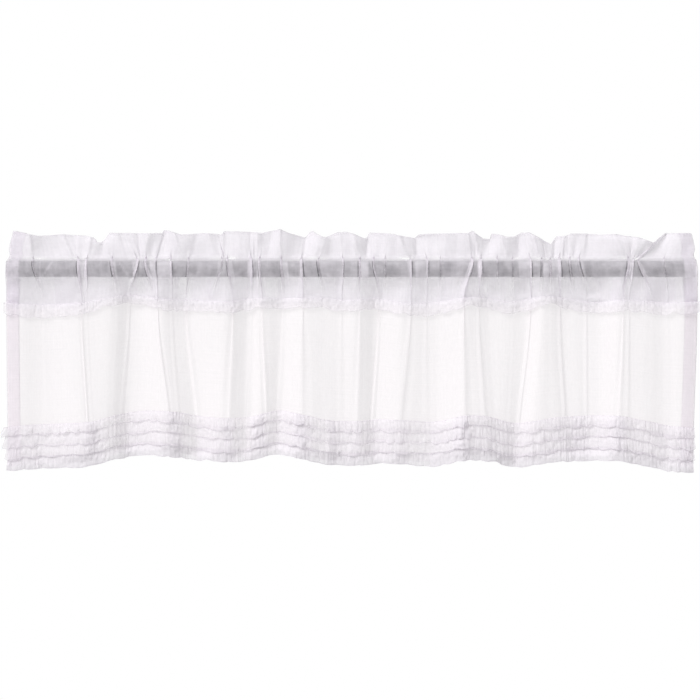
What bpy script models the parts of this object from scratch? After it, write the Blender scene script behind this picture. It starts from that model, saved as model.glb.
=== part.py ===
"""Window valance: a ruffled sheer cotton valance gathered on a plain round rod.

The origin is on the rod's axis, halfway along it. +X runs along the rod to the viewer's right,
the front of the cloth faces -Y and +Z is up. Lengths are in metres; the tables are in millimetres.

The main cloth is one piece: the panel with its side hems goes up in front of the rod, stands above
it as the header ruffle, turns over there and comes down behind the rod to the pocket's seam. One
gathered ruffle is sewn over that seam and four more are sewn, like tiers, above the lower hem.
"""
import bisect
import math
from collections import namedtuple

import bmesh
import bpy
from mathutils import Vector

MM = 0.001

# Rod
ROD_RADIUS = 14 * MM
ROD_LENGTH = 1202 * MM
ROD_SIDES = 48

# Cloth
CLOTH = 1.8 * MM            # one layer of the main cloth
SIDE_HEM = 2.4 * MM         # the turned side hems
HEADER_CLOTH = 2.4 * MM     # the doubled header
RUFFLE_CLOTH = 1.4 * MM
CLEAR = 1.1 * MM            # between a ruffle's top edge and the cloth it is sewn to

# Heights above and below the rod's axis
HEADER_SEWN = 19 * MM       # stitch line that parts the header from the pocket
POCKET_SEAM = -63 * MM
PANEL_SHORT = 9 * MM        # the panel ends this far above the lowest ruffle's edge

# The pocket goes round the rod, and its gathers swell out from there
POCKET_RADIUS = 15.4 * MM
POCKET_SWELL = 0.25                 # share of a fold's depth, counted from the deepest fold
DEEPEST = 16 * MM
POCKET_ANGLES = (100, 65, 30)       # degrees from straight up, from below the rod to the stitches
POCKET_MIDDLE = -30 * MM
SEAM_AT = -3 * MM                   # the seam hangs this far in front of the rod's axis
SEAM_GUSSET = 3 * MM                # the pocket's inside ends this far above its seam

# Header: share of the fold's depth that is left at the stitches and half-way up
HEADER_PINCH = 0.25
HEADER_BELLY = 0.8

# Panel: shares of its height at which its folds are worked out, from the seam down
PANEL_STEPS = (0.0, 0.22, 0.5, 0.78, 1.0)
STEPS_PER_FOLD = 4

# One row for each main fold or crease, from left to right. head, sewn, seam and hem are its places
# along the rod at the header's edge, the stitches, the pocket's seam and the lower edge. The three
# "out" columns are how far it stands back (+) or forward (-) there. top is the header's edge, frill
# the lower edge of the ruffle on the seam and low the lower edge of the tiers, as heights. The cloth
# is turned to three layers along its side hems.
Fold = namedtuple("Fold", "head sewn seam hem out_head out_seam out_hem top frill low layers")
FOLDS_MM = (
    (-592, -597, -601, -599,   4,   2,   3,  65,  -79,  -355, 3),
    (-564, -577, -579, -578,  -6,  -2,   1,  62,  -84,  -351, 3),
    (-530, -536, -540, -540,   5,   6,   8,  61,  -86,  -349, 1),
    (-504, -478, -468, -457,   8,  -8, -14,  62,  -82,  -346, 1),
    (-457, -452, -455, -446,   2,  -5,  -8,  57,  -78,  -342, 1),
    (-443, -424, -410, -417, -11, -10,  -6,  47,  -65,  -334, 1),
    (-407, -389, -393, -401,   8,  10,  14,  65,  -61,  -330, 1),
    (-372, -363, -363, -359,  -5,  11,  13,  64,  -62,  -325, 1),
    (-328, -339, -332, -312,   9,  -8, -15,  67,  -72,  -327, 1),
    (-309, -286, -297, -265,  -8,   7,   7,  61,  -73,  -336, 1),
    (-222, -230, -208, -215,   6, -10, -15,  66,  -79,  -339, 1),
    (-178, -176, -176, -178,  -6,  12,   6,  60,  -69,  -337, 1),
    (-154, -157, -154, -147,   6,  -8, -11,  61,  -70,  -328, 1),
    (-122, -119, -119, -129,  -8,  14,  18,  69,  -70,  -324, 1),
    ( -80,  -87,  -84,  -82,   9,  -7, -13,  61,  -68,  -333, 1),
    ( -51,  -59,  -51,  -44,  -9,  -5,  -4,  58,  -68,  -343, 1),
    ( -14,  -12,   -9,   -7,   6,   1,   6,  66,  -75,  -344, 1),
    (  10,   12,   10,    9,  -9, -11,  -7,  59,  -75,  -345, 1),
    (  25,   23,   24,   22,  -2,  -4,   3,  52,  -71,  -344, 1),
    (  33,   33,   37,   35,   8,  11,  15,  64,  -68,  -340, 1),
    (  77,  105,   99,   86,  -6,  -4,   1,  60,  -82,  -342, 1),
    ( 115,  133,  138,  141,   8,   5,  10,  59,  -81,  -346, 1),
    ( 208,  208,  201,  199,  -6, -11, -18,  68,  -68,  -333, 1),
    ( 246,  225,  230,  239,   8,   1, -10,  55,  -65,  -335, 1),
    ( 269,  272,  274,  269,  -9,   4,  -1,  58,  -80,  -345, 1),
    ( 297,  293,  309,  288,   9,  16,  17,  64,  -72,  -349, 1),
    ( 318,  333,  328,  312, -11, -10,  -4,  60,  -63,  -344, 1),
    ( 345,  350,  358,  372,   6,   5,   8,  45,  -65,  -336, 1),
    ( 360,  360,  380,  392,  -2,   7,  11,  61,  -72,  -336, 1),
    ( 379,  380,  405,  412,  -5,   7,  14,  62,  -77,  -334, 1),
    ( 412,  401,  435,  440,   8,  14,  15,  61,  -80,  -334, 1),
    ( 466,  482,  469,  466,  -8, -10, -11,  58,  -73,  -334, 1),
    ( 520,  505,  512,  513,  -9,  -5,  -4,  48,  -76,  -343, 1),
    ( 548,  538,  547,  553,   8,   4,   7,  65,  -82,  -352, 1),
    ( 575,  578,  581,  577,  -5,  -4,  -1,  64,  -79,  -354, 3),
    ( 595,  600,  603,  597,   5,   1,   3,  64,  -77,  -356, 3),
)

# One row for each ruffle. edge names the column above that its lower edge follows, lift is how far
# above that line it ends and height its own height; flare is how far its lower edge stands forward,
# wave how far its gathers swing and waves how many there are. The last four columns are where its
# upper and lower corners reach at the left and the right.
Ruffle = namedtuple("Ruffle", "name edge lift height flare wave waves phase "
                              "left_top left_low right_top right_low")
RUFFLES_MM = (
    ("pocket_ruffle", "frill", 0.0, 26, 10.0, 3.6, 44, 0.4, -601, -606, 606, 608),
    ("hem_ruffle_1", "low", 58.5, 24, 11.0, 3.2, 46, 1.1, -606, -612, 599, 600),
    ("hem_ruffle_2", "low", 39.0, 24, 11.0, 3.2, 45, 2.3, -603, -609, 598, 601),
    ("hem_ruffle_3", "low", 19.5, 24, 11.0, 3.2, 47, 3.6, -600, -605, 597, 600),
    ("hem_ruffle_4", "low", 0.0, 24, 11.0, 3.2, 45, 5.2, -599, -601, 596, 598),
)
STEPS_PER_WAVE = 4
WAVE_LIFT = 0.8             # millimetres that a gather's forward crest rises above its troughs


def clear_scene():
    """Remove what the scene already holds."""
    for thing in list(bpy.data.objects):
        bpy.data.objects.remove(thing, do_unlink=True)


def material(name, colour, roughness, metallic=0.0):
    """A plain Principled material."""
    made = bpy.data.materials.new(name)
    made.use_nodes = True
    shader = made.node_tree.nodes["Principled BSDF"]
    shader.inputs["Base Color"].default_value = (*colour, 1.0)
    shader.inputs["Roughness"].default_value = roughness
    shader.inputs["Metallic"].default_value = metallic
    return made


def add_object(name, mesh, look, collection):
    """Put a mesh in the collection under its own name and material."""
    mesh.materials.append(look)
    thing = bpy.data.objects.new(name, mesh)
    collection.objects.link(thing)
    return thing


def mix(low, high, share):
    """Straight blend of two numbers."""
    return low + (high - low) * share


def eased(share):
    """A share that leaves and arrives level, so that a fold's crest and trough are round."""
    return (1 - math.cos(math.pi * share)) / 2


def fold_between(left, right, share):
    """The cloth between two folds: places move evenly, depths and edges in a rounded way."""
    even = {"head", "sewn", "seam", "hem"}
    values = []
    for name in Fold._fields[:-1]:
        blend = share if name in even else eased(share)
        values.append(mix(getattr(left, name), getattr(right, name), blend))
    return Fold(*values, left.layers if share < 0.5 else right.layers)


def columns_of_cloth():
    """Every place along the rod at which the cloth's section is worked out, in metres."""
    folds = [Fold(*(value * MM for value in row[:-1]), row[-1]) for row in FOLDS_MM]
    columns = []
    for left, right in zip(folds, folds[1:]):
        for step in range(STEPS_PER_FOLD):
            columns.append(fold_between(left, right, step / STEPS_PER_FOLD))
    return columns + [folds[-1]]


def thickness(fold):
    """The main cloth's thickness there."""
    return SIDE_HEM if fold.layers > 1 else CLOTH


def place_at(fold, height):
    """Where a fold crosses a height, along the rod."""
    if height >= HEADER_SEWN:
        return mix(fold.sewn, fold.head, (height - HEADER_SEWN) / (fold.top - HEADER_SEWN))
    if height >= POCKET_SEAM:
        return mix(fold.seam, fold.sewn, (height - POCKET_SEAM) / (HEADER_SEWN - POCKET_SEAM))
    foot = fold.low + PANEL_SHORT
    return mix(fold.seam, fold.hem, eased((POCKET_SEAM - height) / (POCKET_SEAM - foot)))


def spot(fold, depth, height):
    """A point of the cloth."""
    return Vector((place_at(fold, height), depth, height))


def panel_points(fold, side):
    """One face of the panel from its foot up to the pocket's seam: side -1 is the front."""
    foot = fold.low + PANEL_SHORT
    points = []
    for step in reversed(PANEL_STEPS):
        depth = SEAM_AT + mix(fold.out_seam, fold.out_hem, eased(step)) + side * thickness(fold) / 2
        points.append(spot(fold, depth, mix(POCKET_SEAM, foot, step)))
    return points


def pocket_points(fold, side, inside):
    """One wall of the pocket, up from above the seam: side -1 is the wall in front of the rod."""
    layer = 0.0 if inside else thickness(fold)
    swell = POCKET_SWELL * (DEEPEST + side * fold.out_seam)
    rounds = []
    for angle in POCKET_ANGLES:
        turn = math.radians(angle)
        radius = POCKET_RADIUS + layer + swell * math.sin(turn) ** 2
        rounds.append((side * radius * math.sin(turn), radius * math.cos(turn)))
    seam_depth = SEAM_AT + fold.out_seam + side * layer / 2
    seam_height = POCKET_SEAM + (SEAM_GUSSET if inside else 0.0)
    start_depth, start_height = rounds[0]
    share = (POCKET_MIDDLE - seam_height) / (start_height - seam_height)
    middle = (mix(seam_depth, start_depth, share), POCKET_MIDDLE)
    return [spot(fold, depth, height) for depth, height in [middle] + rounds]


def header_points(fold, side):
    """One face of the doubled header from its stitches to its upper edge."""
    points = []
    for step, share in ((0.0, HEADER_PINCH), (0.5, HEADER_BELLY), (1.0, 1.0)):
        depth = fold.out_head * share + side * HEADER_CLOTH / 2
        points.append(spot(fold, depth, mix(HEADER_SEWN, fold.top, step)))
    return points


def section(fold):
    """The cloth's section at one place: its outside, then the inside of the pocket."""
    up_front = panel_points(fold, -1) + pocket_points(fold, -1, False) + header_points(fold, -1)
    up_back = panel_points(fold, 1) + pocket_points(fold, 1, False) + header_points(fold, 1)
    gusset = spot(fold, SEAM_AT + fold.out_seam, POCKET_SEAM + SEAM_GUSSET)
    crown = spot(fold, 0.0, POCKET_RADIUS)
    inner_front = pocket_points(fold, -1, True)
    inner_back = pocket_points(fold, 1, True)
    tunnel = [gusset] + inner_front + [crown] + inner_back[::-1]
    return up_front + up_back[::-1], tunnel


def close_end(mesh, outside, tunnel):
    """Fill one end of the cloth between its outside and its pocket."""
    panel = len(PANEL_STEPS)
    pocket = len(POCKET_ANGLES) + 1
    height = len(outside) // 2
    front = outside[:height]
    back = outside[height:][::-1]
    inner_front = tunnel[:pocket + 1]
    crown = tunnel[pocket + 1]
    inner_back = [tunnel[0]] + tunnel[pocket + 2:][::-1]
    for low in range(panel - 1):
        mesh.faces.new((front[low], front[low + 1], back[low + 1], back[low]))
    mesh.faces.new((front[panel - 1], tunnel[0], back[panel - 1]))
    for low in range(pocket):
        high = low + 1
        row = panel - 1 + low
        mesh.faces.new((front[row], front[row + 1], inner_front[high], inner_front[low]))
        mesh.faces.new((back[row], back[row + 1], inner_back[high], inner_back[low]))
    shoulder = panel + pocket - 1
    mesh.faces.new((front[shoulder], front[shoulder + 1], crown, inner_front[pocket]))
    mesh.faces.new((back[shoulder], back[shoulder + 1], crown, inner_back[pocket]))
    mesh.faces.new((front[shoulder + 1], back[shoulder + 1], crown))
    for low in range(shoulder + 1, height - 1):
        mesh.faces.new((front[low], front[low + 1], back[low + 1], back[low]))


def join_rings(mesh, rings):
    """Skin a row of closed rings of points. Both faces of the cloth get the same diagonals."""
    count = len(rings[0])
    for here, there in zip(rings, rings[1:]):
        for index in range(count):
            after = (index + 1) % count
            low, high = (index, after) if here[index].co.z < here[after].co.z else (after, index)
            mesh.faces.new((here[low], there[high], here[high]))
            mesh.faces.new((here[low], there[low], there[high]))


def finished(mesh, name):
    """Turn a bmesh into mesh data whose faces look outward."""
    bmesh.ops.recalc_face_normals(mesh, faces=mesh.faces)
    data = bpy.data.meshes.new(name)
    mesh.to_mesh(data)
    mesh.free()
    return data


def main_cloth(columns):
    """Panel, pocket and header as one folded piece with a tunnel for the rod."""
    mesh = bmesh.new()
    outsides = []
    tunnels = []
    for fold in columns:
        outside, tunnel = section(fold)
        outsides.append([mesh.verts.new(point) for point in outside])
        tunnels.append([mesh.verts.new(point) for point in tunnel])
    join_rings(mesh, outsides)
    join_rings(mesh, tunnels)
    for end in (0, -1):
        close_end(mesh, outsides[end], tunnels[end])
    return finished(mesh, "valance_cloth")


def at_height(path, height):
    """The point at which a path that goes up crosses a height."""
    for low, high in zip(path, path[1:]):
        if height <= high.z:
            break
    return low.lerp(high, (height - low.z) / (high.z - low.z))


def front_of_cloth(paths, place, height, reach):
    """How far forward the main cloth's front comes within reach of a place, at a height."""
    crossings = [at_height(path, height) for path in paths]
    places = [crossing.x for crossing in crossings]
    depths = [crossing.y for crossing in crossings if abs(crossing.x - place) < reach]
    for near in (place - reach, place, place + reach):
        near = min(max(near, places[0]), places[-1])
        right = min(max(bisect.bisect_left(places, near), 1), len(places) - 1)
        left = right - 1
        share = (near - places[left]) / (places[right] - places[left])
        depths.append(mix(crossings[left].y, crossings[right].y, share))
    return min(depths)


def edge_height(columns, ruffle, place):
    """The height of a ruffle's lower edge at a place, without its gathers."""
    column_of = "seam" if ruffle.edge == "frill" else "hem"
    places = [getattr(fold, column_of) for fold in columns]
    right = min(max(bisect.bisect_left(places, place), 1), len(columns) - 1)
    left = right - 1
    share = (place - places[left]) / (places[right] - places[left])
    share = min(max(share, 0.0), 1.0)
    low = mix(getattr(columns[left], ruffle.edge), getattr(columns[right], ruffle.edge), share)
    return low + ruffle.lift * MM


def ruffle_strip(ruffle, columns, paths):
    """A gathered strip whose upper edge follows the cloth and whose lower edge swings out."""
    mesh = bmesh.new()
    rings = []
    count = ruffle.waves * STEPS_PER_WAVE
    reach = 0.6 * (ruffle.right_top - ruffle.left_top) * MM / count
    for step in range(count + 1):
        uneven = 0.0 if step in (0, count) else 0.3 * math.sin(1.9 * step + ruffle.phase)
        share = (step + uneven) / count
        top_place = mix(ruffle.left_top, ruffle.right_top, share) * MM
        low_place = mix(ruffle.left_low, ruffle.right_low, share) * MM
        swing = math.cos(math.pi / 2 * step) * (0.75 + 0.25 * math.sin(0.83 * step + ruffle.phase))
        plain_low = edge_height(columns, ruffle, low_place)
        low = plain_low + WAVE_LIFT * MM * (1 + swing) / 2
        top = POCKET_SEAM + 10 * MM if ruffle.edge == "frill" else plain_low + ruffle.height * MM
        drop = (top - low) / (ruffle.height * MM)
        top_depth = front_of_cloth(paths, top_place, top, reach) - CLEAR
        low_depth = front_of_cloth(paths, low_place, low, reach) - CLEAR
        low_depth -= (ruffle.flare + ruffle.wave * swing) * MM * drop
        corners = ((top_place, top_depth, top), (low_place, low_depth, low),
                   (low_place, low_depth - RUFFLE_CLOTH, low),
                   (top_place, top_depth - RUFFLE_CLOTH, top))
        rings.append([mesh.verts.new(corner) for corner in corners])
    join_rings(mesh, rings)
    mesh.faces.new(rings[0])
    mesh.faces.new(rings[-1])
    return finished(mesh, ruffle.name)


def rod():
    """The plain round rod, along X."""
    mesh = bmesh.new()
    bmesh.ops.create_cone(mesh, cap_ends=True, segments=ROD_SIDES, radius1=ROD_RADIUS,
                          radius2=ROD_RADIUS, depth=ROD_LENGTH)
    for vertex in mesh.verts:
        vertex.co = Vector((vertex.co.z, vertex.co.y, -vertex.co.x))
    return finished(mesh, "rod")


def main():
    clear_scene()
    collection = bpy.data.collections.new("Window valance")
    bpy.context.scene.collection.children.link(collection)
    columns = columns_of_cloth()
    paths = [panel_points(fold, -1) + pocket_points(fold, -1, False)[:2] for fold in columns]

    dark = material("rod_metal", (0.06, 0.055, 0.055), 0.45, 0.7)
    sheer = material("sheer_cotton", (0.86, 0.85, 0.87), 0.85)
    add_object("rod", rod(), dark, collection)
    add_object("valance_cloth", main_cloth(columns), sheer, collection)
    for row in RUFFLES_MM:
        ruffle = Ruffle(*row)
        shade = 0.84 if ruffle.edge == "low" else 0.87
        look = material(ruffle.name + "_cotton", (shade, shade - 0.01, shade + 0.01), 0.85)
        add_object(ruffle.name, ruffle_strip(ruffle, columns, paths), look, collection)


main()
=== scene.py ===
"""The looks of the window valance: sheer voile with tucks, gathers, turned hems and fine ruffles.

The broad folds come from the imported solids. The tucks, the fans of the header, the fine gathers,
the turned side hems, the sewing and the weave are made here, in millimetres unless a name says
otherwise. +X runs along the rod, the cloth's front faces -Y and +Z is up.
"""

import math
import random
from collections import namedtuple

import bpy
import numpy as np
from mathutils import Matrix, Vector
from mathutils.bvhtree import BVHTree


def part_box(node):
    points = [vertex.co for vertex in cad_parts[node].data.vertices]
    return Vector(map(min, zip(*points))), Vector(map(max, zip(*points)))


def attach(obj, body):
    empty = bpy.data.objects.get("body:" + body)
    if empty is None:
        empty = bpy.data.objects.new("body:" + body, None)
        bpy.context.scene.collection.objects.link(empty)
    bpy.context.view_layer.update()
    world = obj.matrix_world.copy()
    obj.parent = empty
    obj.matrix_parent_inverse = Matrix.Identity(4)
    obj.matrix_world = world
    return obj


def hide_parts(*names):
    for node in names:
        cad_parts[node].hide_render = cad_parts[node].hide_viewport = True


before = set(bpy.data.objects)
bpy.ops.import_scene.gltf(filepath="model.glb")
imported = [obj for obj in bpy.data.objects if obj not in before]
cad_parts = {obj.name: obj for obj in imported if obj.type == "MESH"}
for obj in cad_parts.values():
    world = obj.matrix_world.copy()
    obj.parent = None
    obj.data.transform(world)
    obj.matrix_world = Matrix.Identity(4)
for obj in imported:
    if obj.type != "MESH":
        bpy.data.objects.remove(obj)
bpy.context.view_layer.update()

MM = 0.001

# The photo's frame: how many columns it has, how wide it is at the rod, and where its middle is
PHOTO_COLUMNS = 700
FRAME_WIDTH = 1221.5
MIDDLE = (-1.7, -141.3)

ROD_RADIUS = (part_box("rod")[1].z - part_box("rod")[0].z) / 2 / MM

# Heights above the rod's axis
SEWN = 15.6                 # the stitches between header and pocket
SEAM = -55.5                # the pocket's lower seam, where its ruffle hangs at its mean height
SEAM_DRIFT = 0.7            # how much of the ruffle's rise and fall the seam follows

# One row for each gather that is pinched at the stitches, from left to right. head, sewn, seam and
# hem are the columns of the photo where it is at the header's edge, the stitches, the seam and the
# hem. The "lap" columns are how many millimetres of cloth are doubled over there, side is the side
# its visible edge is on (1 right, -1 left) and the last column how dark a painted shadow line lies
# beside that edge where it lies on the rod, drawn by thinning the cloth there so the dark rod
# shows through.
Gather = namedtuple("Gather", "head sewn seam hem lap_head lap_rod lap_panel side slit")
GATHERS = [Gather(*row) for row in (
    (31, 33.3, 43.5, 46, 4, 3, 2, -1, 1),
    (66, 79, 82, 89, 7, 5, 5, -1, 0.9),
    (92, 86.3, 88, 94.3, 6, 4, 2, 1, 0),
    (112, 112, 117, 112, 2, 4, 2, -1, 1),
    (127, 138, 130, 121, 6, 5, 4, 1, 1),
    (143, 146, 152, 145.3, 3, 5, 2, -1, 1),
    (163.5, 155.5, 158, 172.2, 2, 3, 6, 1, 0.7),
    (170, 171, 172.5, 180.8, 2, 4, 3, 1, 0.8),
    (187, 188.7, 186, 199, 8, 3, 5, -1, 0.6),
    (214, 222.5, 213, 211.7, 3, 2.5, 1, -1, 0),
    (224, 227.5, 233, 227.8, 4, 4, 5, -1, 1),
    (249, 251, 252, 249, 3, 6, 3, 1, 1),
    (260, 259.3, 262, 266.8, 3, 5, 5, -1, 0.6),
    (281, 281, 283, 277, 6, 4, 3, -1, 0),
    (305, 301, 303, 303.4, 5, 6, 6, 1, 1),
    (325, 318, 323, 325.8, 5, 4, 1, -1, 1),
    (340, 343, 342, 341.8, 3, 3, 3, 1, 0.5),
    (360, 359.5, 359.5, 355.6, 7, 4, 4, -1, 0.8),
    (373, 373.5, 379, 371, 2, 4, 7, -1, 1),
    (388, 385, 385, 381, 1, 2, 1, 1, 0),
    (407, 410.5, 411, 400, 7, 4, 5, 1, 1),
    (421, 427.3, 427, 427.8, 2, 4, 3, 1, 0.8),
    (440, 440, 441, 443, 2, 2, 2, -1, 0),
    (469, 472, 464, 466.2, 2, 5, 6, 1, 0.7),
    (484, 480, 479, 486.8, 7, 7, 4, 1, 0.3),
    (497, 497, 497, 500, 1, 2, 1, 1, 0),
    (511, 512, 513, 508, 6, 2, 2, -1, 0),
    (525, 530.3, 531, 517.8, 2, 4, 6, 1, 0.9),
    (538, 541.5, 541, 530, 4, 3, 2, -1, 0.8),
    (548, 550, 550, 552, 4, 3, 2, -1, 0),
    (561, 559, 560, 567, 3, 6, 5, 1, 0.8),
    (569, 569.5, 573, 578, 2, 4, 1, -1, 0.7),
    (586, 578, 587, 588, 4, 3, 4, 1, 1),
    (622, 628.3, 622.5, 617, 5, 5, 6, -1, 0.8),
    (640, 632.5, 629, 627.8, 5, 3, 3, 1, 0.4),
    (662, 637.5, 651, 650, 4, 4, 2, -1, 1),
    (672, 663, 668, 670, 1, 1.5, 2, 1, 0),
)]
LEFT_EDGE = Gather(12.9, 8.3, 6.6, 7.7, 0, 0, 0, 1, 0)
RIGHT_EDGE = Gather(691.8, 694.7, 697.1, 693.1, 0, 0, 0, 1, 0)

# Where the cloth lies double over the rod, from left to right: the columns of the photo where a
# strip begins and ends on the rod's upper and lower edge, and how much denser it is.
Strip = namedtuple("Strip", "upper_left upper_right lower_left lower_right dense")
STRIPS = [Strip(*row) for row in (
    (40, 41, 40, 42, 0.34), (52, 55, 41, 44, 0.27), (77.5, 88, 77.5, 88, 0.66),
    (111.5, 115, 114.5, 118.5, 0.54), (118, 120, 128, 131, 0.34), (132.5, 138.5, 134, 138, 0.66),
    (142, 145, 149, 153, 0.66), (150, 155.5, 151, 156, 0.49), (157.5, 173, 157.5, 173.5, 0.61),
    (187.3, 189.5, 187.3, 189.5, 0.34), (218.5, 222, 217.5, 221, 0.44), (228, 232, 229, 235, 0.54),
    (248, 254.3, 248, 254.3, 0.61), (257, 261, 257, 261, 0.54), (280, 287.5, 281.5, 289, 0.66),
    (300, 303.7, 299, 303, 0.44), (318, 344, 322, 344, 0.34), (359, 368.5, 359, 368.5, 0.66),
    (369, 372, 375.5, 378, 0.44), (407, 411, 409, 413, 0.54), (414.5, 428, 415.5, 427, 0.61),
    (470, 474, 464, 468, 0.66), (477, 482, 477, 482.5, 0.54), (517.5, 531, 519, 531, 0.54),
    (543, 560, 542.5, 560, 0.49), (568, 570, 568.5, 570.5, 0.34), (580, 583, 583, 586, 0.44),
    (627.5, 632.7, 623, 631.5, 0.66), (636, 639, 642.5, 647, 0.54),
)]

# Where the folds crush the pocket below the rod and the hem's rows together (dense above 0) or
# spread them towards the light (below 0), from left to right, as columns of the photo. Above 0 the
# cloth is denser, partly for doubled cloth and partly as painted shade where the folds turn from the
# light; below 0 it is thinner, as painted light where it faces the light.
Band = namedtuple("Band", "left right dense")
POCKET_SHADE_BANDS = [Band(*row) for row in (
    (55, 80, 0.5), (138, 146, -0.4), (153, 158, 0.45), (179, 191, -0.7), (207, 214, 0.45),
    (266, 278, -0.65), (298, 303, 0.5), (336, 343, 0.55), (360, 371, -0.35), (438, 455, 0.35),
    (460, 468, 0.8), (484, 488, -0.6), (507, 513, -0.45), (562, 567, -0.4), (598, 604, 0.4),
    (611, 622, 0.6), (630, 640, 0.35), (644, 676, 0.6),
)]
HEM_SHADE_BANDS = [Band(*row) for row in (
    (86, 98, 0.4), (104, 127, -0.4), (168, 178, 0.35), (183, 197, -0.6), (225, 231, 0.3),
    (234, 247, -0.55), (252, 264, 0.9), (268, 278, -0.4), (293, 306, 0.7), (312, 327, -0.45),
    (330, 336, 0.4), (361, 372, -0.3), (408, 430, -0.45), (453, 468, 0.9), (573, 588, 0.35),
    (608, 624, 0.65), (677, 690, 0.3),
)]

STRIP_EDGE = 1.6            # millimetres over which a strip begins and ends
BAND_EDGE = 7               # and over which a band does
STRIP_BELOW = 0.35          # how much of a strip is left on the pocket below the rod
LAP_BELOW = 0.6             # and how much of a tuck's thinness

# Where the sheet lies, in millimetres from the faces of its solid or from the rod
SKIN = 0.9                  # inside the solid's front and back
HEADER_SKIN = 1.2           # and inside the header's front
HEADER_TOP = 60             # above this height the header keeps the depth that it has there
ROD_GAP = 1.2               # clear of the rod
NEAR_END = 560              # past this place along the rod its ends begin to spread
END_BULGE = 2.6             # the pocket's ends stand out this far over the ends of the rod
HEADER_BULGE = 1.2          # and the header's ends this much more
HEADER_NECK = 1.4           # but they draw in by this much right above the stitches

# Tucks: how far forward and back the cloth swings over each, at five heights
TUCK_HEAD = 0.2
TUCK_SEWN = 1.4
TUCK_ROD = 2.4
TUCK_SEAM = 1.0
TUCK_PANEL = 1.2
TUCK_STEPS = 10             # columns of the cloth in each tuck
WIDEST_SEWN = 9.0           # no more cloth than this is doubled over at the stitches
TUCK_THIN = 0.55            # how thin the visible layer of a tuck lies over the rod
LAP_THIN = 0.85             # its hidden layers
SLIT_SHADOW = 1.0             # and right beside its edge, a painted shadow line

# How far the cloth strays forward and back in slow drifts and in quick ripples along it: two of
# the panel each, then one of the pocket and one of the header
DRIFTS = (1.4, 0.9, 0.9, 1.6)
RIPPLES = (0.35, 0.35, 0.5, 0.5)
CREASED = 0.35              # and in the small creases of the pocket and header
EDGE_TEETH = 0.15           # small ups and downs of the header's edge
PANE_STEP = 1.95            # the widest step between two columns of the cloth
BESIDE = (0.8, 1.6)         # extra columns this far from a tuck
PANE_HOLLOW = 1.5           # the cloth between two tucks of the header lies this far back

# Broad facets of the cloth between its creases, from left to right. upper and lower are the columns
# of the photo at which each begins, at the zone's upper and lower edge, and turn is how far it faces
# left (+) or right (-), in units of the zone's own turn. The header runs from its edge to the
# stitches, the pocket from there to its seam, the panel from the seam to the foot.
Facet = namedtuple("Facet", "upper lower turn")
HEADER_FACETS = [Facet(*row) for row in (
    (10, 9, 0.3), (25, 27, 1.4), (30.5, 32.5, -2.6), (32.5, 34.5, -0.3), (42, 44, 0.5),
    (56, 64, 0.9), (63.5, 73.5, -2.6), (66, 75.5, -0.6), (75, 77, 1.4), (78.5, 79.5, -0.7),
    (86, 84, 1.3), (90.5, 88.5, -2.4), (94, 91, -1.2), (103.5, 103, 1.3), (117.5, 125.5, -2.4),
    (120, 128, -0.8), (136, 140, -2.2), (138.5, 141, 1.7), (149.5, 144, -0.5), (163, 155, -2.6),
    (165, 158, 1.7), (174.5, 183, -2.4), (177.5, 185.5, -1), (194, 189.5, -1.6),
    (197.5, 191.5, 0.8), (209, 215, -0.9), (217, 219, 0.2), (223.5, 223.5, -2.4),
    (225.5, 225.5, 0.3), (240, 239, -1.2), (243, 242, -0.5), (250.5, 250, 1.8), (258, 258, -0.8),
    (273, 268, 1.9), (280, 280, -2.6), (282.5, 282.5, -0.3), (292, 292, -0.9), (303, 301, -1.6),
    (307, 303.5, 1.7), (314, 312, -0.4), (323, 322, -0.9), (329, 330, 0.5), (334.5, 339, 1.6),
    (340.5, 343.5, -0.3), (353.5, 361, -2.4), (357, 363, -1.3), (366.5, 364.5, -1.8),
    (368.5, 366.5, 0.9), (380, 380, 0.1), (396, 396, 0.7), (399, 409, -2.2), (402, 412, -0.7),
    (415, 413.5, -2), (417, 416, 0.7), (434, 434, -0.2), (440, 440, 0.8), (446, 445, -0.5),
    (453, 453, -0.9), (457, 457, 0.4), (468, 473.5, -1.8), (470.5, 475, 2), (475, 480.5, -2),
    (477, 482, -0.9), (491, 483, 1.6), (501.5, 507.5, -2), (504, 510, -0.9), (520.5, 517.5, 1.6),
    (531, 542, -1.6), (535, 544, -0.9), (552, 551, -2.4), (556, 554, 0.3), (566, 563, -2),
    (568.5, 565, 0.8), (587, 583, -2.2), (589, 585.5, 0.7), (614, 627, -2.2), (617, 629, -0.8),
    (632, 633, 0.9), (637, 636.5, -0.8), (663, 638, -3), (668, 641, 0.4), (682, 682, -0.9),
)]
POCKET_FACETS = [Facet(*row) for row in (
    (20, 20, -0.2), (50, 52, 0.2), (56, 58, -0.3), (80, 81, -1.2), (86, 88, 0.2), (112, 113, -1),
    (122, 127, 0.7), (157, 158, -0.8), (176, 182, 1.6), (181, 187, -0.3), (196, 205, 1),
    (203, 212, -0.4), (219, 219, 0.4), (225, 227, -1.1), (252, 252, 1.7), (260, 260, -0.4),
    (284, 287, 0.9), (301, 301, -0.5), (318, 322, -1), (338, 339, 1), (357, 357, -0.6),
    (375, 375, -1), (401, 401, 1), (408, 408, -1.2), (427, 427, 0.4), (451, 453, 0.9),
    (463, 466, -1.2), (480, 480, -0.4), (505, 505, 1.4), (513, 513, -0.8), (534, 533, 1.8),
    (540, 540, -0.8), (559, 558, -0.9), (573, 575, 1.2), (583, 584, -1), (604, 604, 1.6),
    (620, 620, -1.3), (640, 640, 0.4), (655, 655, -0.9),
)]
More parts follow.
